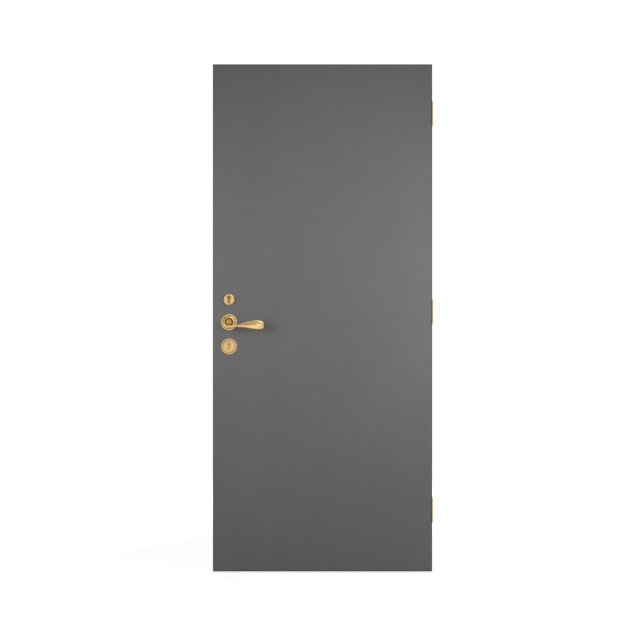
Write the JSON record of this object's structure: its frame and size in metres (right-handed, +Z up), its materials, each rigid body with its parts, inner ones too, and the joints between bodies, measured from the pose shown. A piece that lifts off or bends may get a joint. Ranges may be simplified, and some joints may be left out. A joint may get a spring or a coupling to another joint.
{
  "type": "wood-plastic composite door",
  "caption": "Plain flush door leaf of wood-plastic composite on butt hinges, with lever handles and round cylinder roses in brass.",
  "frame": {"origin": "middle of the screw pattern on the bottom hinge's frame leaf, on the flat face that lies on the jamb", "axes": "+X out of the hinge side towards the jamb, +Z up, -Y towards the viewer of the picture"},
  "size_m": [0.915, 0.153, 2.1],
  "materials": {
    "face_sheet": "matte",
    "edge_strip": "matte",
    "composite": "matte",
    "brass": "satin",
    "cylinder_brass": "satin",
    "dark_ring": "satin",
    "lock_steel": "satin"
  },
  "bodies": {
    "hinge_frame_side": {"bottom_hinge_frame_leaf": "brass", "bottom_hinge_pin": "brass", "middle_hinge_frame_leaf": "brass", "middle_hinge_pin": "brass", "top_hinge_frame_leaf": "brass", "top_hinge_pin": "brass"},
    "door_leaf": {"lock_stile": "composite", "hinge_stile": "composite", "top_rail": "composite", "bottom_rail": "composite", "hollow_core": "composite", "front_skin": "face_sheet", "back_skin": "face_sheet", "lock_edge_lipping": "edge_strip", "hinge_edge_lipping": "edge_strip", "top_edge_lipping": "edge_strip", "bottom_edge_lipping": "edge_strip", "bottom_hinge_door_leaf": "brass", "middle_hinge_door_leaf": "brass", "top_hinge_door_leaf": "brass", "lock_case": "lock_steel", "lock_forend": "brass", "latch_bolt": "brass", "dead_bolt": "brass", "upper_bolt": "brass", "upper_cylinder": "cylinder_brass", "lower_cylinder": "cylinder_brass", "front_upper_plug": "cylinder_brass", "back_upper_plug": "cylinder_brass", "front_lower_plug": "cylinder_brass", "back_lower_plug": "cylinder_brass", "front_lever_rose": "brass", "back_lever_rose": "brass", "front_bearing_ring": "dark_ring", "back_bearing_ring": "dark_ring", "front_upper_rose": "brass", "back_upper_rose": "brass", "front_lower_rose": "brass", "back_lower_rose": "brass"},
    "lever_set": {"front_lever": "brass", "back_lever": "brass", "spindle": "lock_steel"}
  },
  "joints": [
    {"name": "leaf_swing", "type": "hinge", "parent": "hinge_frame_side", "child": "door_leaf", "pos_m": [-0.004, 0.021, 0.825], "axis": [0, 0, -1], "range_deg": [0, 170]},
    {"name": "lever_turn", "type": "hinge", "parent": "door_leaf", "child": "lever_set", "pos_m": [-0.846, -0.006, 0.782], "axis": [0, 1, 0], "range_deg": [0, 35], "stiffness_Nm_per_rad": 1.5, "springref_deg": -45.84}
  ]
}
